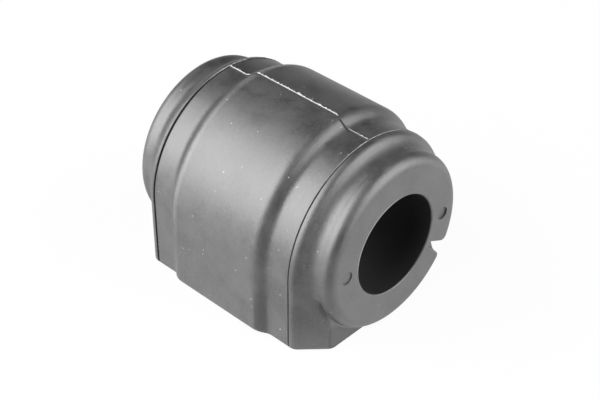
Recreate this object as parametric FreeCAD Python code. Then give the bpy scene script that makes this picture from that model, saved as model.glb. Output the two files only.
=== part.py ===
"""Sway bar bushing: one moulded rubber block with a bore for the bar.

Frame, in millimetres: the origin is on the axis of the bore, half way along it.
Y runs along the bore, X across the flat base, and Z up from the base to the
rounded top.  The block has a D-shaped outline: a round top, two nearly upright
sides and a flat base.  Its middle band stands proud of its two end bands.
Past the mould joints at both ends the block slopes in to a shoulder, and a round
collar grows out of each shoulder.  The relief slots are on the +X side.
"""
import FreeCAD
import Part
import math
import os

# Bore for the bar
bore_radius = 15.0
bore_edge_radius = 0.4

# D-shaped outline of the end bands
top_radius = 30.1
top_centre_drop = 1.6
base_drop = 25.2
side_draft_deg = 0.75
base_corner_radius = 1.3

# Middle band: a rounded edge, a slope and a rounded foot lead down to each end band
band_rise = 2.6
band_half_length = 14.0
band_edge_radius = 4.2
band_slope_deg = 41.0
band_foot_radius = 2.8
band_corner_radius = 3.1

# Mould joints: a fine groove round the outline, near each end
joint_offset = 26.0
near_groove_width = 0.3
far_groove_width = 0.5
joint_groove_depth = 0.5

# Mould seam: a low ridge of flash along the crown, from joint to joint
seam_ridge_width = 0.5
seam_ridge_height = 0.35

# End shoulders, which slope in from the sides and the top but not from the base
shoulder_offset = 34.6
shoulder_slope_width = 7.3
shoulder_slope_deg = 46.0
shoulder_blend_radius = 2.4
shoulder_rim_radius = 2.0

# Round collars at the two ends
collar_radius = 26.2
collar_edge_radius = 3.2
collar_end_offset = 37.3

# Hollow curve at the root of each collar, over the top and down the sides
collar_root_radius = 4.0
root_sweep_deg = 216.0
root_wall_bite_deg = 10.0
root_slope_bite_deg = 7.0
root_wall_tail = 0.7

# Two shallow round dimples in each end face
dimple_pitch_radius = 19.6
dimple_radius = 1.9
slotted_side_dimple_depth = 0.55
plain_side_dimple_depth = 0.3

# Relief slot in each end: a wedge that opens outwards from close to the bore
slot_start_deg = -36.0
slot_sweep_deg = 10.0
slot_web = 1.8
slot_lip_size = 1.2
slot_lip_flatness = 0.33

# Corner of each shoulder below the slot, taken off by one flat facet
facet_base_reach = 11.7
facet_face_rise = 10.9
facet_face_reach = 8.6
facet_depth = 7.0
facet_depth_reach = 15.8
facet_depth_rise = 3.5

# Number of spans that shape each curved stretch
curve_spans = 5
# How far a cutting tool runs past the surface that it cuts
overrun = 5.0


def vec(x, y, z):
    return FreeCAD.Vector(x, y, z)


def d_wire(y, rise, corner):
    """Closed D outline in the plane at y, with its top and sides moved out by rise."""
    draft = math.radians(side_draft_deg)
    radius = top_radius + rise
    centre_z = -top_centre_drop
    spring_x = radius * math.cos(draft)
    spring_z = centre_z - radius * math.sin(draft)
    base_z = -base_drop
    # the side leans in by the draft, so the corner's centre is worked out from it
    side_at_base = spring_x - (spring_z - base_z) * math.tan(draft)
    corner_x = side_at_base - corner * (1.0 - math.sin(draft)) / math.cos(draft)
    corner_z = base_z + corner
    side_end_x = corner_x + corner * math.cos(draft)
    side_end_z = corner_z - corner * math.sin(draft)
    mid_x = corner_x + corner * math.cos(math.radians(45.0))
    mid_z = corner_z - corner * math.sin(math.radians(45.0))

    right_spring = vec(spring_x, y, spring_z)
    left_spring = vec(-spring_x, y, spring_z)
    left_side_end = vec(-side_end_x, y, side_end_z)
    left_base = vec(-corner_x, y, base_z)
    right_base = vec(corner_x, y, base_z)
    right_side_end = vec(side_end_x, y, side_end_z)
    edges = [
        Part.Arc(right_spring, vec(0, y, centre_z + radius), left_spring).toShape(),
        Part.makeLine(left_spring, left_side_end),
        Part.Arc(left_side_end, vec(-mid_x, y, mid_z), left_base).toShape(),
        Part.makeLine(left_base, right_base),
        Part.Arc(right_base, vec(mid_x, y, mid_z), right_side_end).toShape(),
        Part.makeLine(right_side_end, right_spring),
    ]
    return Part.Wire(edges)


def d_prism(y_start, y_end, rise, corner):
    """Straight length of the D outline."""
    face = Part.Face(d_wire(y_start, rise, corner))
    return face.extrude(vec(0, y_end - y_start, 0))


def d_loft(side, stations, straight):
    """Solid through D outlines at one end, from stations given as (offset, rise)."""
    wires = [d_wire(side * offset, rise, base_corner(rise)) for offset, rise in stations]
    return Part.makeLoft(wires, True, straight)


def base_corner(rise):
    """Base corner radius of the outline, which grows over the middle band's step."""
    share = max(0.0, rise) / band_rise
    return base_corner_radius + (band_corner_radius - base_corner_radius) * share


def arc_stations(offset, rise, radius, first, last):
    """Stations on an arc that starts at a station and turns between two slope angles."""
    turn = 1.0 if last > first else -1.0
    stations = []
    for i in range(curve_spans + 1):
        angle = first + (last - first) * i / curve_spans
        along = turn * radius * (math.sin(angle) - math.sin(first))
        down = turn * radius * (math.cos(first) - math.cos(angle))
        stations.append((offset + along, rise - down))
    return stations


def band_step_stations():
    """Stations from the middle band's edge to the foot of its step."""
    radii = band_edge_radius + band_foot_radius
    steepest = math.acos(max(-1.0, 1.0 - band_rise / radii))
    slope = min(math.radians(band_slope_deg), steepest)
    straight = (band_rise - radii * (1.0 - math.cos(slope))) / math.tan(slope)
    edge = arc_stations(band_half_length, band_rise, band_edge_radius, 0.0, slope)
    foot_offset = edge[-1][0] + straight
    foot_rise = band_foot_radius * (1.0 - math.cos(slope))
    foot = arc_stations(foot_offset, foot_rise, band_foot_radius, slope, 0.0)
    return edge, foot


def band_step(side):
    """Step from the middle band down to the end band, at one end."""
    edge, foot = band_step_stations()
    solids = [d_loft(side, edge, False), d_loft(side, foot, False)]
    if foot[0][0] - edge[-1][0] > 0.001:
        solids.append(d_loft(side, [edge[-1], foot[0]], True))
    return solids


def shoulder(side):
    """Rounded edge, slope and rounded rim from the end band to the shoulder's plane."""
    slope = math.radians(shoulder_slope_deg)
    square = math.radians(90.0)
    corner_offset = shoulder_offset - shoulder_slope_width / math.tan(slope)
    start = corner_offset - shoulder_blend_radius * math.tan(slope / 2.0)
    blend = arc_stations(start, 0.0, shoulder_blend_radius, 0.0, slope)
    back = shoulder_rim_radius * math.tan((square - slope) / 2.0)
    rim_offset = shoulder_offset - back * math.cos(slope)
    rim_rise = -shoulder_slope_width + back * math.sin(slope)
    rim = arc_stations(rim_offset, rim_rise, shoulder_rim_radius, slope, square)
    solids = [
        d_loft(side, blend, False),
        d_loft(side, [blend[-1], rim[0]], True),
        d_loft(side, rim, False),
    ]
    return solids, start


def root_centre():
    """Centre of the root's hollow curve, as an offset along the bore and a height.

    The curve touches the shoulder's slope below the crown on one side and the
    collar's rounded edge on the other, so the collar swells out like a bead.
    """
    slope = math.radians(shoulder_slope_deg)
    crown = top_radius - top_centre_drop
    corner = shoulder_offset - shoulder_slope_width / math.tan(slope)
    edge_offset = collar_end_offset - collar_edge_radius
    edge_height = collar_radius - collar_edge_radius
    out = (corner - edge_offset) * math.sin(slope) + (crown - edge_height) * math.cos(slope)
    out += collar_root_radius
    reach = collar_edge_radius + collar_root_radius
    back = math.sqrt(max(reach ** 2 - out ** 2, 0.01))
    offset = edge_offset + out * math.sin(slope) - back * math.cos(slope)
    height = edge_height + out * math.cos(slope) + back * math.sin(slope)
    return offset, height


def collar(side):
    """Beaded collar: a neck, a hollow root and a rounded edge, turned about the axis."""
    root_offset, root_height = root_centre()
    edge_offset = collar_end_offset - collar_edge_radius
    edge_height = collar_radius - collar_edge_radius
    neck = root_height - collar_root_radius

    # the outline is drawn below the axis, so its seam goes with the base trim
    def below(offset, height):
        return vec(0, side * offset, -height)

    def round_edge(angle):
        offset = edge_offset + collar_edge_radius * math.cos(angle)
        return below(offset, edge_height + collar_edge_radius * math.sin(angle))

    def hollow(angle):
        offset = root_offset + collar_root_radius * math.sin(angle)
        return below(offset, root_height - collar_root_radius * math.cos(angle))

    lean_back = math.atan2(root_height - edge_height, root_offset - edge_offset)
    turn = lean_back - math.radians(90.0)
    profile = Part.Wire([
        Part.makeLine(below(joint_offset, 0), below(joint_offset, neck)),
        Part.makeLine(below(joint_offset, neck), hollow(0.0)),
        Part.Arc(hollow(0.0), hollow(turn / 2.0), hollow(turn)).toShape(),
        Part.Arc(hollow(turn), round_edge(lean_back / 2.0), round_edge(0.0)).toShape(),
        Part.makeLine(round_edge(0.0), below(collar_end_offset, 0)),
        Part.makeLine(below(collar_end_offset, 0), below(joint_offset, 0)),
    ])
    return Part.Face(profile).revolve(vec(0, 0, 0), vec(0, 1, 0), 360.0)


def root_flare(side):
    """Hollow curve that fills the corner between the collar and the shoulder's slope.

    The slope is centred below the bore, so the corner lies further out at the
    sides than at the top, and the ring leans by the angle that follows it.
    """
    slope = math.radians(shoulder_slope_deg)
    wall_bite = math.radians(root_wall_bite_deg)
    slope_bite = math.radians(root_slope_bite_deg)
    radius = collar_root_radius
    root_offset, root_height = root_centre()
    neck = root_height - radius
    neck_depth = top_radius - top_centre_drop - neck
    lean = math.atan(top_centre_drop / (math.tan(slope) * neck))
    inner = bore_radius + slot_web

    def on_arc(angle):
        offset = root_offset - radius * math.sin(angle)
        return vec(0, side * offset, root_height - radius * math.cos(angle))

    def run_on(point, angle, length):
        return point + vec(0, -side * length * math.cos(angle), length * math.sin(angle))

    # both ends of the curve dive under the surfaces that they join
    outer_end = on_arc(wall_bite)
    inner_end = on_arc(slope - slope_bite)
    wall_foot = run_on(outer_end, wall_bite, -root_wall_tail)
    slope_tail = max(neck_depth, collar_edge_radius / 4.0) / 2.0
    slope_foot = run_on(inner_end, slope - slope_bite, slope_tail)
    profile = Part.Wire([
        Part.makeLine(vec(0, slope_foot.y, inner), slope_foot),
        Part.makeLine(slope_foot, inner_end),
        Part.Arc(inner_end, on_arc(slope / 2.0), outer_end).toShape(),
        Part.makeLine(outer_end, wall_foot),
        Part.makeLine(wall_foot, vec(0, wall_foot.y, inner)),
        Part.makeLine(vec(0, wall_foot.y, inner), vec(0, slope_foot.y, inner)),
    ])
    face = Part.Face(profile)
    face.rotate(vec(0, 0, 0), vec(0, 1, 0), -root_sweep_deg / 2.0)
    ring = face.revolve(vec(0, 0, 0), vec(0, 1, 0), root_sweep_deg)
    pivot = vec(0, side * root_offset, neck)
    ring.rotate(pivot, vec(1, 0, 0), side * math.degrees(lean))
    return ring


def base_trim():
    """Block below the base, which trims the collars flush with it."""
    width = 2.0 * (top_radius + band_rise + overrun)
    length = 2.0 * (collar_end_offset + overrun)
    corner = vec(-width / 2.0, -length / 2.0, -base_drop - top_radius)
    return Part.makeBox(width, length, top_radius, corner)


def joint_groove(side):
    """Fine groove round the top and the sides, where two mould parts meet."""
    width = near_groove_width if side < 0 else far_groove_width
    y_start = side * joint_offset - width / 2.0
    y_end = y_start + width
    outer = d_prism(y_start, y_end, joint_groove_depth, base_corner_radius)
    inner = d_prism(y_start, y_end, -joint_groove_depth, base_corner_radius)
    return outer.cut(inner)


def seam_ridge():
    """Low ridge along the crown, which follows the middle band's steps."""
    crown = top_radius - top_centre_drop + seam_ridge_height
    root = top_radius - top_centre_drop - overrun
    edge, foot = band_step_stations()
    joints = {-1: joint_offset - near_groove_width / 2.0}
    joints[1] = joint_offset - far_groove_width / 2.0
    edges = []
    for side in (-1, 1):
        level = vec(0, side, 0)
        points = [vec(0, side * offset, crown + rise) for offset, rise in edge + foot]
        curve = Part.BSplineCurve()
        curve.interpolate(Points=points, InitialTangent=level, FinalTangent=level)
        end_y = side * joints[side]
        edges.append(curve.toShape())
        edges.append(Part.makeLine(points[-1], vec(0, end_y, crown)))
        edges.append(Part.makeLine(vec(0, end_y, crown), vec(0, end_y, root)))
    top_end = edge[0][0]
    top = crown + edge[0][1]
    edges.append(Part.makeLine(vec(0, -top_end, top), vec(0, top_end, top)))
    edges.append(Part.makeLine(vec(0, -joints[-1], root), vec(0, joints[1], root)))
    face = Part.Face(Part.Wire(Part.__sortEdges__(edges)))
    face.translate(vec(-seam_ridge_width / 2.0, 0, 0))
    return face.extrude(vec(seam_ridge_width, 0, 0))


def dimple(side, hand):
    """Shallow round dimple in one end face, level with the bore's axis."""
    depth = slotted_side_dimple_depth if hand > 0 else plain_side_dimple_depth
    floor = vec(hand * dimple_pitch_radius, side * (collar_end_offset - depth), 0)
    return Part.makeCylinder(dimple_radius, overrun, floor, vec(0, side, 0))


def relief_slot(side):
    """Wedge cut into one end, from the collar's end back to the mould joint."""
    inner = bore_radius + slot_web
    outer = 2.0 * top_radius
    first = math.radians(slot_start_deg)
    last = math.radians(slot_start_deg + slot_sweep_deg)
    middle = (first + last) / 2.0
    y = side * (joint_offset + far_groove_width / 2.0)

    def polar(radius, angle):
        return vec(radius * math.cos(angle), y, radius * math.sin(angle))

    wire = Part.Wire([
        Part.Arc(polar(inner, first), polar(inner, middle), polar(inner, last)).toShape(),
        Part.makeLine(polar(inner, last), polar(outer, last)),
        Part.makeLine(polar(outer, last), polar(outer, first)),
        Part.makeLine(polar(outer, first), polar(inner, first)),
    ])
    length = collar_end_offset - joint_offset + overrun
    return Part.Face(wire).extrude(vec(0, side * length, 0))


def slot_lip(side, wall_deg, hand):
    """Tool that rounds the corner of one slot wall and the collar's rounded edge."""
    angle = math.radians(wall_deg)
    outward = vec(math.cos(angle), 0, math.sin(angle))
    into = vec(-math.sin(angle), 0, math.cos(angle)) * hand
    edge = collar_edge_radius
    size = slot_lip_size
    sections = []
    for i in range(curve_spans + 2):
        turn = math.radians(90.0) * min(i / curve_spans, 1.0)
        reach = collar_radius - edge * (1.0 - math.cos(turn))
        offset = collar_end_offset - edge * (1.0 - math.sin(turn))
        if i > curve_spans:
            offset += size
        along = vec(0, side * offset, 0)
        on_wall = outward * (reach - size)
        swing = size / reach
        on_rim = outward * (reach * math.cos(swing)) + into * (reach * math.sin(swing))
        inset = size * slot_lip_flatness
        middle = outward * (reach - inset) + into * inset
        clear = into * (-size / 2.0)
        beyond = outward * size
        sections.append(Part.Wire([
            Part.Arc(on_wall + along, middle + along, on_rim + along).toShape(),
            Part.makeLine(on_rim + along, on_rim + beyond + along),
            Part.makeLine(on_rim + beyond + along, outward * (reach + size) + clear + along),
            Part.makeLine(outward * (reach + size) + clear + along, on_wall + clear + along),
            Part.makeLine(on_wall + clear + along, on_wall + along),
        ]))
    return Part.makeLoft(sections, True, True)


def corner_facet(side):
    """Tool that takes off the shoulder's lower corner on the slotted side."""
    start = vec(facet_base_reach, side * shoulder_offset, -base_drop)
    along_face = vec(facet_face_reach, 0, facet_face_rise)
    along_depth = vec(facet_depth_reach, -side * facet_depth, facet_depth_rise)
    normal = along_face.cross(along_depth)
    normal.normalize()
    if normal.y * side < 0:
        normal = normal * -1.0
    size = 4.0 * top_radius
    block = Part.makeBox(size, size, size, vec(-size / 2.0, -size / 2.0, 0))
    turn = FreeCAD.Rotation(vec(0, 0, 1), normal)
    block.Placement = FreeCAD.Placement(start, turn)
    # the collar is added after this cut, so only the D-shaped block loses its corner
    return block


def bore():
    """Bore for the bar, right through the bushing."""
    length = 2.0 * (collar_end_offset + overrun)
    return Part.makeCylinder(bore_radius, length, vec(0, -length / 2.0, 0), vec(0, 1, 0))


def bore_rims(shape):
    """The two circular edges where the bore meets the end faces."""
    rims = []
    for edge in shape.Edges:
        if not isinstance(edge.Curve, Part.Circle):
            continue
        on_end = abs(abs(edge.CenterOfMass.y) - collar_end_offset) < 0.01
        if on_end and abs(edge.Curve.Radius - bore_radius) < 0.01:
            rims.append(edge)
    return rims


def build_block():
    """D-shaped block: the middle band, its steps, the end bands and the shoulders."""
    edge, foot = band_step_stations()
    band = d_prism(-edge[0][0], edge[0][0], band_rise, band_corner_radius)
    solids = []
    for side in (-1, 1):
        slope_solids, slope_start = shoulder(side)
        end_band = d_prism(side * foot[-1][0], side * slope_start, 0.0, base_corner_radius)
        solids += band_step(side) + slope_solids + [end_band]
    return band.fuse(solids).removeSplitter()


def build_bushing():
    body = build_block()
    body = body.fuse(seam_ridge())
    for side in (-1, 1):
        body = body.cut(corner_facet(side))
        body = body.cut(joint_groove(side))
    body = body.fuse([collar(-1), collar(1), root_flare(-1), root_flare(1)])
    body = body.cut(base_trim())
    slot_end_deg = slot_start_deg + slot_sweep_deg
    for side in (-1, 1):
        body = body.cut(relief_slot(side))
        body = body.cut(slot_lip(side, slot_start_deg, -1))
        body = body.cut(slot_lip(side, slot_end_deg, 1))
        for hand in (-1, 1):
            body = body.cut(dimple(side, hand))
    body = body.cut(bore())
    body = body.removeSplitter()
    body = body.makeFillet(bore_edge_radius, bore_rims(body))
    return body


os.makedirs("parts", exist_ok=True)
bushing = build_bushing()
bushing.exportStep("parts/bushing.step")
print("solids", len(bushing.Solids), "valid", bushing.isValid(), "volume", bushing.Volume)
print("box", bushing.BoundBox)
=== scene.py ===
import math

import bmesh
import bpy
from mathutils import Matrix, Vector


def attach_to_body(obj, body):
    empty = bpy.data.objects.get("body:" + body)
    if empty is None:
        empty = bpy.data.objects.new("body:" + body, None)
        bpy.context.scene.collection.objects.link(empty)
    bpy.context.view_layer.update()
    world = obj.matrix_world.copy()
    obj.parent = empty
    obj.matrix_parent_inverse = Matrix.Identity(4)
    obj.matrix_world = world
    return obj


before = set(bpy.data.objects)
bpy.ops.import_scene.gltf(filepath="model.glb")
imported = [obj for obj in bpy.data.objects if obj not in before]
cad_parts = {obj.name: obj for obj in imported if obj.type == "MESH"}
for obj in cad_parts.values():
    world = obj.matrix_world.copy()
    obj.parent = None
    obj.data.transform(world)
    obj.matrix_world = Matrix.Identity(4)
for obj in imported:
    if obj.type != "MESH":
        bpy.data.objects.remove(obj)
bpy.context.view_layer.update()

MM = 0.001


def grey(level):
    """Colour that is the same in red, green and blue."""
    return (level, level, level, 1)


# The bushing's forms, in millimetres and degrees, as the model has them
TOP_RADIUS = 30.1
TOP_CENTRE_DROP = 1.6
SIDE_DRAFT_DEG = 0.75
BASE_DROP = 25.2
BAND_RISE = 2.6
BAND_HALF_LENGTH = 14.0
BAND_STEP_LENGTH = 5.6
JOINT_OFFSET = 26.0
SHOULDER_OFFSET = 34.6
SHOULDER_SLOPE_WIDTH = 7.3
SHOULDER_SLOPE_DEG = 46.0
SHOULDER_BLEND_RADIUS = 2.4
COLLAR_RADIUS = 26.2
COLLAR_EDGE_RADIUS = 3.2
COLLAR_END = 37.3
BORE_RADIUS = 15.0
SEAM_RIDGE_HEIGHT = 0.35
DIMPLE_OFFSET = 19.6
DIMPLE_RADIUS = 1.9
CROWN_HEIGHT = TOP_RADIUS - TOP_CENTRE_DROP

# Pieces that only the scene has, in millimetres and degrees
BORE_WALL_HALF_LENGTH = 36.85
BORE_WALL_PROUD = 0.012
BORE_WALL_DEPTH = 0.4
BORE_WALL_SIDES = 192
FLASH_END_GAP = 0.3
FLASH_WIDTH = 0.5
FLASH_HEIGHT = 0.24
FLASH_RAGGEDNESS = 0.6
LIP_SIDE_LENGTH = 21.0
NEAR_SKIN_START = JOINT_OFFSET + 0.14
FAR_SKIN_START = JOINT_OFFSET + 0.24
SKIN_SWEEP_DEG = 105.0
SKIN_STATIONS = 210
SKIN_FADE_DEG = 8.0
SKIN_PROUD = 0.02
SKIN_SUNK = 0.14
SKIN_GROOVE_DEPTH = 0.45
SKIN_ROOT_RADIUS = 4.35
SKIN_ROOT_RADIUS_AT_END = 4.05
SHARP_CORNER_DEG = 35.0

# Colours and gloss of the rubber
RUBBER_IOR = 1.65
RUBBER_SHINE, RUBBER_LOW_SHINE = 1.0, 0.72
RUBBER_DARK = (0.027, 0.027, 0.0275, 1)
RUBBER_CLOUDY = grey(0.06)
RUBBER_SPECKLE = grey(0.095)
RUBBER_SCUFF = grey(0.24)
# Pale colour of the painted highlights on edges and lips, partly edge wear
RUBBER_HIGHLIGHT_AND_WEAR = grey(0.2)
# Dark colour of the joints, and of painted shade at the roots, the dimples' rims and beside
# the seam
RUBBER_JOINT_AND_PAINTED_SHADE = grey(0.014)
RUBBER_LOW_SHADE = grey(0.02)
# Colour of the pale dust specks, and of the painted highlight on the bore's rims
DUST_AND_RIM_HIGHLIGHT = (0.6, 0.6, 0.59, 1)
BORE_SHINE = 0.5
BORE_NEAR_END_COLOURS = (grey(0.012), grey(0.02))
BORE_MIDDLE_COLOURS = (grey(0.13), grey(0.17))
FLASH_ROUGHNESS = 0.75
# Flash colours: the pale one is partly whitened flash, partly a painted highlight; the dark
# one is also painted shade
FLASH_COLOURS = (grey(0.05), (0.82, 0.82, 0.81, 1))
# Joint lip colours: the pale one is partly whitened flash, partly a painted highlight near
# the crown
JOINT_COLOURS = (grey(0.06), grey(0.45))

# Depth of the grain in each finish, in metres
BODY_GRAIN_DEPTH = 0.00009
BORE_GRAIN_DEPTH = 0.00005
FLASH_GRAIN_DEPTH = 0.00006

# Studio: how bright each soft box and the dim room look, and sizes in metres.
# A soft box is azimuth, elevation, width, height and level.
LEFT_SOFT_BOX = (-121.7, 31.0, 1.43, 1.2, 4.8)
RIGHT_SOFT_BOX = (28.3, 21.9, 1.24, 1.35, 3.5)
ROOM_LEVEL = 0.01
PAPER_COLOURS = (grey(0.74), grey(0.76))
PAPER_ROUGHNESS = 0.9
PAPER_GLOW = 0.95
FRONT_PAPER_LEVEL = 0.3
FLOOR_GAP_MM = 0.02
FLOOR_REACH = 1.5
BACKDROP_HALF_WIDTH = 1.2
BACKDROP_DISTANCE = 1.45
BACKDROP_TOP = 0.12

# Camera, as fitted to the photograph's frame: degrees, metres and pixels
CAMERA_AZIMUTH = -46.9353
CAMERA_ELEVATION = 37.06
CAMERA_ROLL = 0.8157
CAMERA_RIGHT, CAMERA_UP, CAMERA_BACK = 0.00171, -0.00369, 0.422772
PICTURE_WIDTH = 600
FOCAL_LENGTH_PX = 1499.77
SHIFT_X_PX, SHIFT_Y_PX = -1.8175, 0.1887
SENSOR_WIDTH = 36


# Small helpers for node trees

def add_node(tree, kind, **settings):
    node = tree.nodes.new(kind)
    for name, value in settings.items():
        setattr(node, name, value)
    return node


def feed(tree, socket, source):
    """Sets a socket to a number or a colour, or links another socket to it."""
    if isinstance(source, bpy.types.NodeSocket):
        tree.links.new(source, socket)
    else:
        socket.default_value = source


def math_node(tree, operation, first, second=0.0, clamp=False):
    node = add_node(tree, "ShaderNodeMath", operation=operation, use_clamp=clamp)
    feed(tree, node.inputs[0], first)
    feed(tree, node.inputs[1], second)
    return node.outputs[0]


def chain(tree, operation, values):
    result = values[0]
    for value in values[1:]:
        result = math_node(tree, operation, result, value)
    return result


def product(tree, *values):
    return chain(tree, "MULTIPLY", values)


def total(tree, *values):
    return chain(tree, "ADD", values)


def largest(tree, *values):
    return chain(tree, "MAXIMUM", values)


def remap(tree, value, start, end, at_start=0.0, at_end=1.0):
    """Smooth step from one level, up to the start, to another, past the end."""
    node = add_node(tree, "ShaderNodeMapRange", interpolation_type="SMOOTHSTEP")
    feed(tree, node.inputs["Value"], value)
    feed(tree, node.inputs["From Min"], start)
    feed(tree, node.inputs["From Max"], end)
    feed(tree, node.inputs["To Min"], at_start)
    feed(tree, node.inputs["To Max"], at_end)
    return node.outputs["Result"]


def rise(tree, value, start_mm, end_mm):
    """Mask that comes in between two measures in millimetres."""
    return remap(tree, value, start_mm * MM, end_mm * MM)


def fall(tree, value, start_mm, end_mm):
    """Mask that fades out between two measures in millimetres."""
    return remap(tree, value, start_mm * MM, end_mm * MM, 1.0, 0.0)


def near_value(tree, value, centre, half_width, fade):
    """Mask that is 1 within half a width of a centre and fades past it, in mm."""
    away = math_node(tree, "ABSOLUTE", math_node(tree, "SUBTRACT", value, centre * MM))
    return fall(tree, away, half_width, half_width + fade)


def noise(tree, coords, scale, detail, roughness):
    node = add_node(tree, "ShaderNodeTexNoise")
    feed(tree, node.inputs["Vector"], coords)
    feed(tree, node.inputs["Scale"], scale)
    feed(tree, node.inputs["Detail"], detail)
    feed(tree, node.inputs["Roughness"], roughness)
    return node.outputs["Fac"]


def blend_colours(tree, share, first, second):
    node = add_node(tree, "ShaderNodeMix", data_type="RGBA")
    feed(tree, node.inputs[0], share)
    feed(tree, node.inputs[6], first)
    feed(tree, node.inputs[7], second)
    return node.outputs[2]


def paint(tree, under, mask, strength, over):
    """Covers a colour with another one where a mask says, as thickly as asked."""
    return blend_colours(tree, product(tree, mask, strength), under, over)


def split_xyz(tree, vector):
    node = add_node(tree, "ShaderNodeSeparateXYZ")
    feed(tree, node.inputs[0], vector)
    return node.outputs


def join_xyz(tree, x=0.0, y=0.0, z=0.0):
    node = add_node(tree, "ShaderNodeCombineXYZ")
    for label, value in zip("XYZ", (x, y, z)):
        feed(tree, node.inputs[label], value)
    return node.outputs[0]


def vector_node(tree, operation, first, second=None):
    node = add_node(tree, "ShaderNodeVectorMath", operation=operation)
    feed(tree, node.inputs[0], first)
    if second is not None:
        feed(tree, node.inputs[1], second)
    return node.outputs


def start_group(name, *outputs):
    """Shader node group that takes coordinates and gives the named masks or values."""
    group = bpy.data.node_groups.new(name, "ShaderNodeTree")
    group.interface.new_socket("Coords", in_out="INPUT", socket_type="NodeSocketVector")
    for label in outputs:
        group.interface.new_socket(label, in_out="OUTPUT", socket_type="NodeSocketFloat")
    coords = group.nodes.new("NodeGroupInput").outputs["Coords"]
    leave = group.nodes.new("NodeGroupOutput").inputs
    return group, coords, leave


def use_group(tree, group, coords):
    node = add_node(tree, "ShaderNodeGroup", node_tree=group)
    feed(tree, node.inputs["Coords"], coords)
    return node.outputs


# Effects on the rubber

def make_mould_grain():
    """Fine pitting that the mould leaves, with faint turned lines round the part."""
    group, coords, leave = start_group("mould_grain", "Height", "Pores")
    fine = noise(group, coords, scale=3400.0, detail=3.0, roughness=0.7)
    broad = noise(group, coords, scale=1100.0, detail=2.0, roughness=0.5)
    squashed = vector_node(group, "MULTIPLY", coords, (0.06, 1.0, 0.06))["Vector"]
    lines = noise(group, squashed, scale=2600.0, detail=1.0, roughness=0.5)
    height = total(group, product(group, fine, 0.5), product(group, broad, 0.3),
                   product(group, lines, 0.2))
    feed(group, leave["Height"], height)
    feed(group, leave["Pores"], remap(group, broad, 0.6, 0.74))
    return group


def make_bloom():
    """Cloudy patches where wax and dust dull the rubber a little, and small scuffs."""
    group, coords, leave = start_group("bloom", "Patches", "Scuffs")
    clouds = noise(group, coords, scale=110.0, detail=5.0, roughness=0.62)
    feed(group, leave["Patches"], remap(group, clouds, 0.32, 0.68))
    streaks = noise(group, coords, scale=1400.0, detail=4.0, roughness=0.7)
    regions = noise(group, coords, scale=75.0, detail=2.0, roughness=0.5)
    marks = remap(group, streaks, 0.6, 0.74)
    where = remap(group, regions, 0.52, 0.66)
    feed(group, leave["Scuffs"], product(group, marks, where))
    return group


def make_dust():
    """Sparse specks of pale dust, each in its own cell and of its own size."""
    group, coords, leave = start_group("dust", "Specks")
    cells_per_metre, smallest, widest, kept_share = 480.0, 0.02, 0.075, 0.8
    cells = add_node(group, "ShaderNodeTexVoronoi")
    feed(group, cells.inputs["Vector"], coords)
    feed(group, cells.inputs["Scale"], cells_per_metre)
    chance = split_xyz(group, cells.outputs["Color"])
    size = remap(group, chance["Y"], 0.0, 1.0, at_start=smallest, at_end=widest)
    from_centre = math_node(group, "DIVIDE", cells.outputs["Distance"], size)
    dot = remap(group, from_centre, 0.7, 1.3, at_start=1.0, at_end=0.0)
    kept = math_node(group, "LESS_THAN", chance["X"], kept_share)
    feed(group, leave["Specks"], product(group, dot, kept))
    return group


def measure_place(tree, coords):
    """Where on the bushing a place is.

    x, y and z are the place itself, across is x and z alone, reach is the distance
    from the bore's axis, and away is the distance from the middle along the bore.
    """
    x, y, z = split_xyz(tree, coords)
    across = join_xyz(tree, x, 0.0, z)
    reach = vector_node(tree, "LENGTH", across)["Value"]
    away = math_node(tree, "ABSOLUTE", y)
    return {"coords": coords, "x": x, "y": y, "z": z, "across": across,
            "reach": reach, "away": away}


def distance_from(tree, place, centre_mm):
    centre = tuple(measure * MM for measure in centre_mm)
    return vector_node(tree, "DISTANCE", place, centre)["Value"]


def joint_lines(tree, here):
    """The two mould joints as dark lines; the near one closes up here and there."""
    far_line = near_value(tree, here["y"], JOINT_OFFSET + 0.05, half_width=0.38, fade=0.2)
    near_line = near_value(tree, here["y"], -JOINT_OFFSET - 0.12, half_width=0.09, fade=0.08)
    gaps = noise(tree, here["coords"], scale=420.0, detail=2.0, roughness=0.6)
    still_open = remap(tree, gaps, 0.38, 0.52, at_start=0.4, at_end=1.0)
    return largest(tree, far_line, product(tree, near_line, still_open))


def painted_dimple_shade(tree, here):
    """Painted shade: faint dark rings round the rims of the dimples in the end faces."""
    mirrored = join_xyz(tree, math_node(tree, "ABSOLUTE", here["x"]), 0.0, here["z"])
    from_dimple = distance_from(tree, mirrored, (DIMPLE_OFFSET, 0.0, 0.0))
    ring = near_value(tree, from_dimple, DIMPLE_RADIUS, half_width=0.05, fade=0.13)
    on_face = rise(tree, here["away"], 36.9, 37.2)
    return product(tree, ring, on_face, 0.4)


def seam_shade(tree, here):
    """Dark line along the straight side of the crown's flash."""
    on_crown = rise(tree, here["z"], 27.0, 27.5)
    between_joints = fall(tree, here["away"], 25.8, 26.1)
    beside_seam = near_value(tree, here["x"], -0.36, half_width=0.16, fade=0.12)
    return product(tree, on_crown, between_joints, beside_seam)


def painted_root_shade(tree, here):
    """Painted shade: the tight dark corner in which the hollow root ends, at the foot of the
    collar.
    """
    corner = near_value(tree, here["away"], 33.2, half_width=0.4, fade=0.9)
    by_collar = near_value(tree, here["reach"], 26.4, half_width=0.4, fade=0.9)
    low = near_value(tree, here["z"], -13.0, half_width=3.5, fade=3.0)
    return product(tree, corner, by_collar, low, 0.8)


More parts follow.
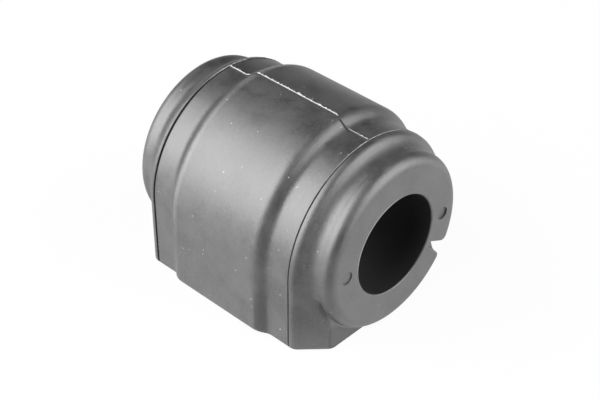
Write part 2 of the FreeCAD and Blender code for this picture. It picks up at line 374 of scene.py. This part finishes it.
def band_edge_wear_and_highlights(tree, here):
    """Edge wear and a painted highlight along the middle band's edges: the near one faint,
    the far one high up.
    """
    near_edge = near_value(tree, here["y"], -14.5, half_width=0.2, fade=0.9)
    far_edge = near_value(tree, here["y"], 14.9, half_width=0.3, fade=1.1)
    high_up = rise(tree, here["z"], -10.0, 10.0)
    return largest(tree, product(tree, near_edge, 0.08), product(tree, far_edge, high_up))


def bead_edge_highlight(tree, here, low_down):
    """Painted highlight: a thin pale edge in which the bead ends below the root."""
    line = near_value(tree, here["reach"], COLLAR_RADIUS + 0.02, half_width=0.1, fade=0.16)
    return product(tree, line, low_down, rise(tree, here["away"], 33.2, 34.0))


def slot_lip_highlight(tree, here):
    """Painted highlight: a pale patch on the slot's lower lip at each end face."""
    from_lip = distance_from(tree, here["across"], (15.7, 0.0, -9.3))
    patch = product(tree, fall(tree, from_lip, 0.6, 1.7), 0.8)
    return product(tree, patch, rise(tree, here["away"], 36.0, 36.9))


def painted_rim_highlight(tree, here):
    """Painted highlight: a pale line on the upper side of the bore's rims, away from the
    slots.
    """
    line = near_value(tree, here["reach"], BORE_RADIUS + 0.42, half_width=0.1, fade=0.12)
    upper_side = rise(tree, math_node(tree, "SUBTRACT", here["z"], here["x"]), 12.5, 19.0)
    return product(tree, line, upper_side, rise(tree, here["away"], 36.8, 37.0))


def low_places(tree, here, low_down):
    """The near step's foot and the corners below the collars, in the floor's shade."""
    foot_of_step = near_value(tree, here["y"], -16.9, half_width=1.0, fade=1.0)
    on_lower_side = fall(tree, here["z"], -17.0, -5.0)
    above_base = rise(tree, here["z"], -25.1, -24.7)
    step = product(tree, foot_of_step, on_lower_side, above_base)
    on_end_plane = rise(tree, here["away"], 34.1, 34.5)
    past_collar = rise(tree, here["reach"], 26.4, 26.8)
    return largest(tree, step, product(tree, on_end_plane, low_down, past_collar))


def make_body_places():
    """Masks for the places on the bushing that look different."""
    group, coords, leave = start_group(
        "body_places", "Joints And Dimple Shade", "Seam Shade", "Painted Root Shade", "Edge Highlights And Wear", "Low Places",
        "Rim Highlight")
    here = measure_place(group, coords)
    low_down = fall(group, here["z"], -19.0, -15.5)
    feed(group, leave["Joints And Dimple Shade"],
         largest(group, joint_lines(group, here), painted_dimple_shade(group, here)))
    feed(group, leave["Seam Shade"], seam_shade(group, here))
    feed(group, leave["Painted Root Shade"], painted_root_shade(group, here))
    feed(group, leave["Edge Highlights And Wear"], largest(
        group, band_edge_wear_and_highlights(group, here), bead_edge_highlight(group, here, low_down),
        slot_lip_highlight(group, here)))
    feed(group, leave["Low Places"], low_places(group, here, low_down))
    feed(group, leave["Rim Highlight"], painted_rim_highlight(group, here))
    return group


# Finishes

def start_material(name):
    material = bpy.data.materials.new(name)
    material.use_nodes = True
    tree = material.node_tree
    shader = tree.nodes["Principled BSDF"]
    coords = tree.nodes.new("ShaderNodeTexCoord").outputs["Object"]
    return material, tree, shader, coords


def add_bump(tree, shader, height, depth):
    bump = add_node(tree, "ShaderNodeBump")
    feed(tree, bump.inputs["Strength"], 1.0)
    feed(tree, bump.inputs["Distance"], depth)
    feed(tree, bump.inputs["Height"], height)
    feed(tree, shader.inputs["Normal"], bump.outputs["Normal"])


def make_body_rubber(effects):
    """The bushing's own rubber: a satin gloss with grain, cloudy patches and dust.

    It is darker and duller in the joints, and in painted shade at the roots, round the
    dimples and beside the seam. It carries painted highlights, partly edge wear, on the
    band's edges, the bead's lower edge, the slot's lower lips and the bore's upper rims.
    It is painted darker, and is less shiny, in the places that lie in the floor's shade.
    """
    material, tree, shader, coords = start_material("body_rubber")
    shader.inputs["IOR"].default_value = RUBBER_IOR
    grain = use_group(tree, effects["grain"], coords)
    bloom = use_group(tree, effects["bloom"], coords)
    dust = use_group(tree, effects["dust"], coords)
    places = use_group(tree, effects["places"], coords)
    # Dark joints, and painted shade at the roots, round the dimples and beside the seam
    joints_and_painted_shade = largest(tree, places["Joints And Dimple Shade"], places["Seam Shade"], places["Painted Root Shade"])

    colour = blend_colours(tree, bloom["Patches"], RUBBER_DARK, RUBBER_CLOUDY)
    speckles = remap(tree, grain["Height"], 0.42, 0.6)
    colour = paint(tree, colour, speckles, 0.35, RUBBER_SPECKLE)
    colour = paint(tree, colour, bloom["Scuffs"], 0.6, RUBBER_SCUFF)
    broken_up = remap(tree, grain["Height"], 0.4, 0.6, at_start=0.5, at_end=1.0)
    # Painted highlights, partly edge wear, on the band's edges, the bead and the slot's lips
    highlights_and_wear = product(tree, places["Edge Highlights And Wear"], broken_up)
    colour = paint(tree, colour, highlights_and_wear, 0.55, RUBBER_HIGHLIGHT_AND_WEAR)
    colour = blend_colours(tree, joints_and_painted_shade, colour, RUBBER_JOINT_AND_PAINTED_SHADE)
    colour = paint(tree, colour, places["Low Places"], 0.6, RUBBER_LOW_SHADE)
    # Dust specks, and the painted highlight on the bore's upper rims
    dust_and_rim_highlight = largest(tree, dust["Specks"], product(tree, places["Rim Highlight"], 0.45))
    clean = math_node(tree, "SUBTRACT", 1.0, joints_and_painted_shade)
    colour = paint(tree, colour, dust_and_rim_highlight, clean, DUST_AND_RIM_HIGHLIGHT)
    feed(tree, shader.inputs["Base Color"], colour)

    shine = remap(tree, places["Low Places"], 0.0, 1.0,
                  at_start=RUBBER_SHINE, at_end=RUBBER_LOW_SHINE)
    feed(tree, shader.inputs["Specular IOR Level"], shine)
    roughness = remap(tree, bloom["Patches"], 0.0, 1.0, at_start=0.42, at_end=0.49)
    roughness = total(tree, roughness, product(tree, grain["Pores"], 0.08))
    roughness = math_node(tree, "ADD", roughness, product(tree, joints_and_painted_shade, 0.45), clamp=True)
    feed(tree, shader.inputs["Roughness"], roughness)
    add_bump(tree, shader, grain["Height"], BODY_GRAIN_DEPTH)
    return material


def make_bore_rubber(effects):
    """Duller rubber of the bore, darker near the ends and lighter towards the middle."""
    material, tree, shader, coords = start_material("bore_rubber")
    shader.inputs["Specular IOR Level"].default_value = BORE_SHINE
    grain = use_group(tree, effects["grain"], coords)
    shade = remap(tree, grain["Height"], 0.35, 0.65)
    near_end_colour = blend_colours(tree, shade, *BORE_NEAR_END_COLOURS)
    middle_colour = blend_colours(tree, shade, *BORE_MIDDLE_COLOURS)
    away = math_node(tree, "ABSOLUTE", split_xyz(tree, coords)["Y"])
    towards_middle = fall(tree, away, 0.0, 33.0)
    feed(tree, shader.inputs["Base Color"], blend_colours(tree, towards_middle, near_end_colour, middle_colour))
    roughness = remap(tree, grain["Pores"], 0.0, 1.0, at_start=0.6, at_end=0.7)
    feed(tree, shader.inputs["Roughness"], roughness)
    add_bump(tree, shader, grain["Height"], BORE_GRAIN_DEPTH)
    return material


def make_flash_rubber(name, grain, colours):
    """Thin torn rubber, pale where the piece's mask says: partly whitened flash, partly a
    painted highlight.
    """
    material, tree, shader, coords = start_material(name)
    shader.inputs["Roughness"].default_value = FLASH_ROUGHNESS
    whitening_and_highlight = add_node(tree, "ShaderNodeAttribute", attribute_name="paleness")
    height = use_group(tree, grain, coords)["Height"]
    speckles = remap(tree, height, 0.3, 0.6, at_start=0.75, at_end=1.0)
    paleness = product(tree, whitening_and_highlight.outputs["Fac"], speckles)
    feed(tree, shader.inputs["Base Color"], blend_colours(tree, paleness, *colours))
    add_bump(tree, shader, height, FLASH_GRAIN_DEPTH)
    return material


def front_dimness(tree, coords):
    """How bright the paper looks: dimmer in front of the part, between the soft boxes."""
    front = tuple(direction(CAMERA_AZIMUTH, 0.0))
    towards = vector_node(tree, "DOT_PRODUCT", coords, front)["Value"]
    span = vector_node(tree, "LENGTH", coords)["Value"]
    facing = math_node(tree, "DIVIDE", towards, span)
    return remap(tree, facing, 0.8, 0.98, at_start=1.0, at_end=FRONT_PAPER_LEVEL)


def make_studio_paper():
    """White paper, which looks evenly white and keeps a soft shadow.

    Its glow shows in the part's gloss, but doesn't light the part otherwise. Seen from
    below the paper is clear, so that the part's underside shows.
    """
    material, tree, shader, coords = start_material("studio_paper")
    shader.inputs["Roughness"].default_value = PAPER_ROUGHNESS
    mottling = noise(tree, coords, scale=25.0, detail=3.0, roughness=0.5)
    feed(tree, shader.inputs["Base Color"], blend_colours(tree, mottling, *PAPER_COLOURS))

    path = add_node(tree, "ShaderNodeLightPath").outputs
    in_view = path["Is Camera Ray"]
    seen = largest(tree, in_view, path["Is Glossy Ray"], path["Is Transmission Ray"])
    glow = add_node(tree, "ShaderNodeEmission")
    feed(tree, glow.inputs["Strength"], largest(tree, front_dimness(tree, coords), in_view))
    paper = add_node(tree, "ShaderNodeMixShader")
    feed(tree, paper.inputs[0], product(tree, seen, PAPER_GLOW))
    feed(tree, paper.inputs[1], shader.outputs["BSDF"])
    feed(tree, paper.inputs[2], glow.outputs["Emission"])

    below = add_node(tree, "ShaderNodeNewGeometry").outputs["Backfacing"]
    one_way = add_node(tree, "ShaderNodeMixShader")
    feed(tree, one_way.inputs[0], product(tree, below, in_view))
    feed(tree, one_way.inputs[1], paper.outputs["Shader"])
    clear = add_node(tree, "ShaderNodeBsdfTransparent").outputs["BSDF"]
    feed(tree, one_way.inputs[2], clear)
    feed(tree, tree.nodes["Material Output"].inputs["Surface"], one_way.outputs["Shader"])
    return material


# Pieces made by a rule

def start_geometry_tree(name, *numbers):
    """Geometry node tree with named numbers and a finish for its inputs."""
    tree = bpy.data.node_groups.new(name, "GeometryNodeTree")
    sockets = tree.interface
    sockets.new_socket("Geometry", in_out="INPUT", socket_type="NodeSocketGeometry")
    for label in numbers:
        sockets.new_socket(label, in_out="INPUT", socket_type="NodeSocketFloat")
    sockets.new_socket("Finish", in_out="INPUT", socket_type="NodeSocketMaterial")
    sockets.new_socket("Geometry", in_out="OUTPUT", socket_type="NodeSocketGeometry")
    entry = tree.nodes.new("NodeGroupInput")
    leave = tree.nodes.new("NodeGroupOutput")
    return tree, entry.outputs, leave.inputs


def capture(tree, geometry, value, kind="FLOAT"):
    """Keeps a value on the geometry's points, so that later steps still know it."""
    node = add_node(tree, "GeometryNodeCaptureAttribute", domain="POINT")
    node.capture_items.new(kind, "Kept")
    feed(tree, node.inputs["Geometry"], geometry)
    feed(tree, node.inputs["Kept"], value)
    return node.outputs["Geometry"], node.outputs["Kept"]


def own_position(tree):
    return add_node(tree, "GeometryNodeInputPosition").outputs[0]


def set_places(tree, geometry, position):
    node = add_node(tree, "GeometryNodeSetPosition")
    feed(tree, node.inputs["Geometry"], geometry)
    feed(tree, node.inputs["Position"], position)
    return node.outputs[0]


def point_row(tree, count):
    """Row of points, and how far along the row each one is, from -1 to 1."""
    line = add_node(tree, "GeometryNodeCurvePrimitiveLine")
    points = add_node(tree, "GeometryNodeResampleCurve")
    feed(tree, points.inputs["Curve"], line.outputs[0])
    feed(tree, points.inputs["Count"], count)
    share = add_node(tree, "GeometryNodeSplineParameter").outputs["Factor"]
    centred = math_node(tree, "SUBTRACT", product(tree, share, 2.0), 1.0)
    return points.outputs[0], centred


def unit_circle(tree, count):
    circle = add_node(tree, "GeometryNodeCurvePrimitiveCircle")
    feed(tree, circle.inputs["Resolution"], count)
    feed(tree, circle.inputs["Radius"], 1.0)
    return circle.outputs["Curve"]


def closed_tube(tree, path, profile, size=1.0):
    tube = add_node(tree, "GeometryNodeCurveToMesh")
    feed(tree, tube.inputs["Curve"], path)
    feed(tree, tube.inputs["Profile Curve"], profile)
    feed(tree, tube.inputs["Scale"], size)
    feed(tree, tube.inputs["Fill Caps"], True)
    return tube.outputs[0]


def finish_tree(tree, geometry, paleness, finish, out):
    """Stores the pale mask on a piece and gives it its finish."""
    mask = add_node(tree, "GeometryNodeStoreNamedAttribute", data_type="FLOAT",
                    domain="POINT")
    feed(tree, mask.inputs["Geometry"], geometry)
    feed(tree, mask.inputs["Name"], "paleness")
    feed(tree, mask.inputs["Value"], paleness)
    dress = add_node(tree, "GeometryNodeSetMaterial")
    feed(tree, dress.inputs["Geometry"], mask.outputs[0])
    feed(tree, dress.inputs["Material"], finish)
    feed(tree, out, dress.outputs[0])


def turn_faces_out(mesh):
    work = bmesh.new()
    work.from_mesh(mesh)
    bmesh.ops.recalc_face_normals(work, faces=work.faces)
    work.to_mesh(mesh)
    work.free()


def attach(name, mesh):
    """Puts a finished mesh in the scene as a rubber piece of the one body."""
    piece = bpy.data.objects.new(name, mesh)
    bpy.context.scene.collection.objects.link(piece)
    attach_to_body(piece, "root")


def bake(name, tree, values):
    """Runs a tree with its named values and keeps the result as a plain closed piece."""
    holder = bpy.data.objects.new(name + "_rule", bpy.data.meshes.new(name + "_rule"))
    bpy.context.scene.collection.objects.link(holder)
    modifier = holder.modifiers.new("rule", "NODES")
    modifier.node_group = tree
    for item in tree.interface.items_tree:
        if item.item_type == "SOCKET" and item.in_out == "INPUT" and item.name in values:
            modifier[item.identifier] = values[item.name]
    graph = bpy.context.evaluated_depsgraph_get()
    mesh = bpy.data.meshes.new_from_object(holder.evaluated_get(graph), depsgraph=graph)
    mesh.name = name
    holder.modifiers.clear()
    bpy.data.objects.remove(holder)
    turn_faces_out(mesh)
    attach(name, mesh)


def flash_fullness(tree, y, entry, foot):
    """How full the crown's flash is: it all but vanishes on the near step, where the
    mould halves closed tightly."""
    near = product(tree, y, -1.0)
    edge = entry["Band Half Length"]
    thins = remap(tree, near, total(tree, edge, 0.6 * MM), total(tree, edge, 1.5 * MM))
    fills = remap(tree, near, math_node(tree, "SUBTRACT", foot, 1.2 * MM),
                  math_node(tree, "SUBTRACT", foot, 0.2 * MM), at_start=1.0, at_end=0.35)
    thinness = product(tree, thins, fills, 0.8)
    return math_node(tree, "SUBTRACT", 1.0, thinness)


def torn_edge(tree, along):
    """How far out the torn edge is, from 0 to 1, in fine teeth on longer waves."""
    fine = noise(tree, along, scale=1300.0, detail=2.0, roughness=0.6)
    long = noise(tree, along, scale=420.0, detail=2.0, roughness=0.5)
    teeth = remap(tree, fine, 0.5, 0.66)
    waves = remap(tree, long, 0.45, 0.65)
    return total(tree, product(tree, teeth, 0.6), product(tree, waves, 0.4))


def crown_flash_tree():
    """Torn strip of flash over the crown's ridge, up and down the band's steps.

    Its -X edge is straight and its +X edge is ragged. It is painted pale, partly as a
    highlight, and kept dark along its -X edge as painted shade.
    """
    tree, entry, leave = start_geometry_tree(
        "crown_flash", "Half Length", "Ridge Height", "Band Rise", "Band Half Length",
        "Step Length", "Strip Width", "Strip Height", "Raggedness")
    row, centred = point_row(tree, 520)
    row, y = capture(tree, row, product(tree, centred, entry["Half Length"]))
    ring, around = capture(tree, unit_circle(tree, 10), own_position(tree), "VECTOR")
    sides = split_xyz(tree, around)
    along = join_xyz(tree, 0.0, y, 0.0)

    foot = total(tree, entry["Band Half Length"], entry["Step Length"])
    band = remap(tree, math_node(tree, "ABSOLUTE", y), entry["Band Half Length"], foot,
                 at_start=entry["Band Rise"], at_end=0.0)
    fullness = flash_fullness(tree, y, entry, foot)
    half_width = product(tree, entry["Strip Width"], 0.5)
    on_torn_edge = remap(tree, sides["X"], -0.2, 0.9)
    torn = product(tree, torn_edge(tree, along), entry["Raggedness"], on_torn_edge, fullness)
    x = total(tree, product(tree, sides["X"], half_width, fullness), torn)
    half_height = product(tree, entry["Strip Height"], 0.5)
    lumps = noise(tree, along, scale=800.0, detail=3.0, roughness=0.6)
    bumps = remap(tree, lumps, 0.3, 0.7, at_start=0.7, at_end=1.3)
    z = total(tree, product(tree, sides["Y"], half_height, bumps),
              total(tree, band, entry["Ridge Height"]))
    strip = set_places(tree, closed_tube(tree, row, ring), join_xyz(tree, x, y, z))

    # Pale but for the -X edge: partly whitened flash and a painted highlight, with painted
    # shade along that edge
    painted_lit_part = remap(tree, sides["X"], -0.75, -0.35)
    blotches = noise(tree, along, scale=650.0, detail=3.0, roughness=0.6)
    mottled = remap(tree, blotches, 0.3, 0.6, at_start=0.75, at_end=1.0)
    paleness = product(tree, painted_lit_part, fullness, mottled)
    finish_tree(tree, strip, paleness, entry["Finish"], leave["Geometry"])
    return tree


def outline_places(tree, centred, entry):
    """Points on the D outline, from the foot of one side over the top to the other's.

    Gives each point's position and its angle from the crown, in radians.
    """
    draft = math.radians(SIDE_DRAFT_DEG)
    spring = math.radians(90.0) + draft
    radius = entry["Outline Radius"]
    arc = product(tree, radius, spring)
    along = product(tree, centred, total(tree, arc, entry["Side Length"]))
    hand = math_node(tree, "SIGN", along)
    reach = math_node(tree, "ABSOLUTE", along)
    turned = math_node(tree, "DIVIDE", math_node(tree, "MINIMUM", reach, arc), radius)
    down = largest(tree, math_node(tree, "SUBTRACT", reach, arc), 0.0)
    x = product(tree, radius, math_node(tree, "SINE", turned))
    x = math_node(tree, "SUBTRACT", x, product(tree, down, math.sin(draft)))
    z = product(tree, radius, math_node(tree, "COSINE", turned))
    z = math_node(tree, "SUBTRACT", z, product(tree, down, math.cos(draft)))
    z = math_node(tree, "SUBTRACT", z, TOP_CENTRE_DROP * MM)
    place = join_xyz(tree, product(tree, x, hand), entry["Offset"], z)
    return place, product(tree, turned, hand)


def joint_lip_tree():
    """Fine raised lip along one edge of a mould joint, painted palest where it meets the
    seam, partly as a highlight.
    """
    tree, entry, leave = start_geometry_tree(
        "joint_lip", "Outline Radius", "Side Length", "Offset", "Lip Size", "Raggedness",
        "Pale Reach")
    row, centred = point_row(tree, 700)
    place, angle = outline_places(tree, centred, entry)
    row, kept_angle = capture(tree, row, angle)
    path = set_places(tree, row, place)
    here = own_position(tree)
    crumbs = noise(tree, here, scale=900.0, detail=3.0, roughness=0.6)
    swelling = product(tree, remap(tree, crumbs, 0.35, 0.7), entry["Raggedness"])
    size = product(tree, total(tree, swelling, 1.0), entry["Lip Size"])
    lip = closed_tube(tree, path, unit_circle(tree, 6), size)
    turned = math_node(tree, "ABSOLUTE", kept_angle)
    # Paleness that fades down from the crown: partly whitened flash, partly a painted
    # highlight
    fading = remap(tree, turned, 0.05, entry["Pale Reach"], at_start=1.0, at_end=0.1)
    blotches = noise(tree, here, scale=500.0, detail=3.0, roughness=0.6)
    mottled = remap(tree, blotches, 0.35, 0.65, at_start=0.5, at_end=1.0)
    finish_tree(tree, lip, product(tree, fading, mottled), entry["Finish"],
                leave["Geometry"])
    return tree


# The part

def dress_bushing(rubber):
    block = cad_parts["bushing"]
    block.data.materials.clear()
    block.data.materials.append(rubber)


def add_smooth_piece(name, places, faces, finish):
    """Piece from its points and faces, smooth apart from its sharp corners."""
    mesh = bpy.data.meshes.new(name)
    mesh.from_pydata(places, [], faces)
    turn_faces_out(mesh)
    mesh.polygons.foreach_set("use_smooth", [True] * len(mesh.polygons))
    mesh.set_sharp_from_angle(angle=math.radians(SHARP_CORNER_DEG))
    mesh.materials.append(finish)
    attach(name, mesh)


def turned_place(angle, offset, height):
    """Place at an angle from the crown, seen along the bore, in metres."""
    return (height * math.sin(angle) * MM, offset * MM, height * math.cos(angle) * MM)


def add_bore_wall(finish):
    """Dull wall of the bore, between its two rounded rims."""
    half = BORE_WALL_HALF_LENGTH
    inner, outer = BORE_RADIUS - BORE_WALL_PROUD, BORE_RADIUS + BORE_WALL_DEPTH
    section = [(-half, inner), (half, inner), (half, outer), (-half, outer)]
    places = []
    faces = []
    for i in range(BORE_WALL_SIDES):
        angle = 2.0 * math.pi * i / BORE_WALL_SIDES
        places += [turned_place(angle, offset, radius) for offset, radius in section]
        for j in range(4):
            a, b = 4 * i, 4 * ((i + 1) % BORE_WALL_SIDES)
            faces.append((a + j, a + (j + 1) % 4, b + (j + 1) % 4, b + j))
    add_smooth_piece("bore_wall", places, faces, finish)


def add_crown_flash(finish):
    bake("crown_flash", crown_flash_tree(), {
        "Half Length": (JOINT_OFFSET - FLASH_END_GAP) * MM,
        "Ridge Height": (CROWN_HEIGHT + SEAM_RIDGE_HEIGHT) * MM,
        "Band Rise": BAND_RISE * MM,
        "Band Half Length": BAND_HALF_LENGTH * MM,
        "Step Length": BAND_STEP_LENGTH * MM,
        "Strip Width": FLASH_WIDTH * MM,
        "Strip Height": FLASH_HEIGHT * MM,
        "Raggedness": FLASH_RAGGEDNESS * MM,
        "Finish": finish,
    })


def add_joint_lips(finish):
    """A fine even lip inside the near joint, and a ragged one outside the far joint."""
    tree = joint_lip_tree()
    lips = [
        ("near_joint_lip", -JOINT_OFFSET + 0.2, 0.11, 0.5, 0.8),
        ("far_joint_lip", JOINT_OFFSET + 0.36, 0.09, 2.0, 0.45),
    ]
    for name, offset, size, raggedness, pale_reach in lips:
        bake(name, tree, {
            "Outline Radius": TOP_RADIUS * MM,
            "Side Length": LIP_SIDE_LENGTH * MM,
            "Offset": offset * MM,
            "Lip Size": size * MM,
            "Raggedness": raggedness,
            "Pale Reach": pale_reach,
            "Finish": finish,
        })


def outline_height(angle, inset):
    """How far the D outline is from the bore's axis, at an angle from the crown."""
    draft = math.radians(SIDE_DRAFT_DEG)
    radius = TOP_RADIUS - inset
    if abs(angle) < math.radians(90.0) + draft:
        sideways = TOP_CENTRE_DROP * math.sin(angle)
        return math.sqrt(radius ** 2 - sideways ** 2) - TOP_CENTRE_DROP * math.cos(angle)
    down = max(0.0, -radius * math.cos(angle) - TOP_CENTRE_DROP)
    return (radius * math.cos(draft) - down * math.tan(draft)) / abs(math.sin(angle))


def root_curve(crown, radius, steps):
    """Hollow curve that touches the shoulder's slope and the collar's rounded edge.

    Gives its points, as offset along the bore and height, and its last angle.
    """
    slope = math.radians(SHOULDER_SLOPE_DEG)
    corner = SHOULDER_OFFSET - SHOULDER_SLOPE_WIDTH / math.tan(slope)
    edge_offset = COLLAR_END - COLLAR_EDGE_RADIUS
    edge_height = COLLAR_RADIUS - COLLAR_EDGE_RADIUS
    out = (corner - edge_offset) * math.sin(slope) + (crown - edge_height) * math.cos(slope)
    out += radius
    reach = COLLAR_EDGE_RADIUS + radius
    back = math.sqrt(max(reach ** 2 - out ** 2, 0.01))
    offset = edge_offset + out * math.sin(slope) - back * math.cos(slope)
    height = edge_height + out * math.cos(slope) + back * math.sin(slope)
    last = math.atan2(edge_offset - offset, height - edge_height)
    points = []
    for i in range(steps + 1):
        turn = -slope + (last + slope) * i / steps
        points.append((offset + radius * math.sin(turn), height - radius * math.cos(turn)))
    return points, last


def end_section(angle, start, root_radius, lift):
    """Section of one end's skin: from the mould joint over the shoulder to the bead.

    Past the bead it dives under the surface and runs back inside the solid.
    """
    slope = math.radians(SHOULDER_SLOPE_DEG)
    corner = SHOULDER_OFFSET - SHOULDER_SLOPE_WIDTH / math.tan(slope)
    blend_start = corner - SHOULDER_BLEND_RADIUS * math.tan(slope / 2.0)
    blend_steps, root_steps = 8, 20
    overrun, dip = 0.5, 0.09
    depth_at_bead, depth_at_shoulder, past_blend = 0.7, 0.9, 1.0
    crown = outline_height(angle, 0.0)
    points = [(start, crown - SKIN_GROOVE_DEPTH), (start, crown + lift)]
    for i in range(blend_steps + 1):
        turn = slope * i / blend_steps
        inset = SHOULDER_BLEND_RADIUS * (1.0 - math.cos(turn))
        points.append((blend_start + SHOULDER_BLEND_RADIUS * math.sin(turn),
                       outline_height(angle, inset) + lift))
    root, last = root_curve(crown, root_radius, root_steps)
    points += [(offset, height + lift) for offset, height in root]
    end_offset, end_height = points[-1]
    points.append((end_offset + overrun, end_height + overrun * math.tan(last) - dip))
    points.append((end_offset + overrun, end_height - depth_at_bead))
    points.append((blend_start + past_blend, end_height - depth_at_shoulder))
    return points


def add_end_skin(name, side, start, finish):
    """Moulded skin of one end, which rounds the shoulder into the collar's bead.

    It stands just proud of the solid, and sinks into it at its two ends.
    """
    sweep, count = math.radians(SKIN_SWEEP_DEG), SKIN_STATIONS
    places = []
    for i in range(count + 1):
        angle = -sweep + 2.0 * sweep * i / count
        share = min(1.0, (sweep - abs(angle)) / math.radians(SKIN_FADE_DEG))
        smooth_share = share * share * (3.0 - 2.0 * share)
        lift = -SKIN_SUNK + (SKIN_PROUD + SKIN_SUNK) * smooth_share
        root_radius = SKIN_ROOT_RADIUS_AT_END
        root_radius += (SKIN_ROOT_RADIUS - SKIN_ROOT_RADIUS_AT_END) * share
        places += [turned_place(angle, side * offset, height)
                   for offset, height in end_section(angle, start, root_radius, lift)]
    ring = len(places) // (count + 1)
    faces = []
    for i in range(count):
        for j in range(ring):
            a, b, k = i * ring, (i + 1) * ring, (j + 1) % ring
            faces.append((a + j, a + k, b + k, b + j))
    faces.append(tuple(range(ring)))
    faces.append(tuple(range(len(places) - ring, len(places))))
    add_smooth_piece(name, places, faces, finish)


# Studio

def direction(azimuth, elevation):
    a, e = math.radians(azimuth), math.radians(elevation)
    return Vector((math.sin(a) * math.cos(e), -math.cos(a) * math.cos(e), math.sin(e)))


def add_paper_sheet(name, corners, finish):
    mesh = bpy.data.meshes.new(name)
    mesh.from_pydata(corners, [], [(0, 1, 2, 3)])
    mesh.materials.append(finish)
    sheet = bpy.data.objects.new(name, mesh)
    bpy.context.scene.collection.objects.link(sheet)


def add_floor(level, finish):
    reach = FLOOR_REACH
    add_paper_sheet("floor", [
        (-reach, -reach, level), (reach, -reach, level),
        (reach, reach, level), (-reach, reach, level),
    ], finish)


def add_backdrop(level, finish):
    """Low white wall behind the part, as the camera sees it."""
    back = direction(CAMERA_AZIMUTH + 180.0, 0.0) * BACKDROP_DISTANCE
    along = direction(CAMERA_AZIMUTH + 90.0, 0.0) * BACKDROP_HALF_WIDTH
    left, right = back - along, back + along
    add_paper_sheet("backdrop", [
        (left.x, left.y, level), (right.x, right.y, level),
        (right.x, right.y, BACKDROP_TOP), (left.x, left.y, BACKDROP_TOP),
    ], finish)


def add_soft_box(name, azimuth, elevation, width, height, level):
    """Rectangular soft light a metre away, which faces the part."""
    lamp = bpy.data.lights.new(name, "AREA")
    lamp.shape = "RECTANGLE"
    lamp.size = width
    lamp.size_y = height
    lamp.energy = level * width * height * math.pi
    holder = bpy.data.objects.new(name, lamp)
    bpy.context.scene.collection.objects.link(holder)
    holder.location = direction(azimuth, elevation)
    holder.rotation_mode = "QUATERNION"
    holder.rotation_quaternion = holder.location.to_track_quat("Z", "Y")


def add_room():
    """Dim room that lights the part very little, and looks white behind it."""
    world = bpy.data.worlds.new("studio")
    bpy.context.scene.world = world
    world.use_nodes = True
    tree = world.node_tree
    background = tree.nodes["Background"]
    background.inputs["Color"].default_value = grey(1)
    path = add_node(tree, "ShaderNodeLightPath").outputs
    level = largest(tree, path["Is Camera Ray"], path["Is Transmission Ray"], ROOM_LEVEL)
    feed(tree, background.inputs["Strength"], level)


def add_camera():
    """Camera at the photograph's viewing angle."""
    back = direction(CAMERA_AZIMUTH, CAMERA_ELEVATION)
    turn = math.radians(CAMERA_AZIMUTH)
    roll = math.radians(CAMERA_ROLL)
    level = Vector((math.cos(turn), math.sin(turn), 0))
    upright = back.cross(level)
    right = math.cos(roll) * level + math.sin(roll) * upright
    up = math.cos(roll) * upright - math.sin(roll) * level
    camera = bpy.data.objects.new("camera", bpy.data.cameras.new("camera"))
    bpy.context.scene.collection.objects.link(camera)
    matrix = Matrix((right, up, back)).transposed().to_4x4()
    matrix.translation = CAMERA_RIGHT * right + CAMERA_UP * up + CAMERA_BACK * back
    camera.matrix_world = matrix
    camera.data.sensor_width = SENSOR_WIDTH
    camera.data.lens = FOCAL_LENGTH_PX * SENSOR_WIDTH / PICTURE_WIDTH
    camera.data.shift_x = SHIFT_X_PX / PICTURE_WIDTH
    camera.data.shift_y = SHIFT_Y_PX / PICTURE_WIDTH
    camera.data.clip_start = 0.01
    camera.data.clip_end = 10
    bpy.context.scene.camera = camera


effects = {
    "grain": make_mould_grain(),
    "bloom": make_bloom(),
    "dust": make_dust(),
    "places": make_body_places(),
}
body_rubber = make_body_rubber(effects)
torn_rubber = make_flash_rubber("torn_rubber", effects["grain"], FLASH_COLOURS)
joint_rubber = make_flash_rubber("joint_rubber", effects["grain"], JOINT_COLOURS)
dress_bushing(body_rubber)
add_end_skin("near_end_skin", -1, NEAR_SKIN_START, body_rubber)
add_end_skin("far_end_skin", 1, FAR_SKIN_START, body_rubber)
add_bore_wall(make_bore_rubber(effects))
add_crown_flash(torn_rubber)
add_joint_lips(joint_rubber)
studio_paper = make_studio_paper()
floor_level = -(BASE_DROP + FLOOR_GAP_MM) * MM
add_floor(floor_level, studio_paper)
add_backdrop(floor_level, studio_paper)
add_soft_box("left_soft_box", *LEFT_SOFT_BOX)
add_soft_box("right_soft_box", *RIGHT_SOFT_BOX)
add_room()
add_camera()
bpy.context.scene.view_settings.view_transform = "Standard"
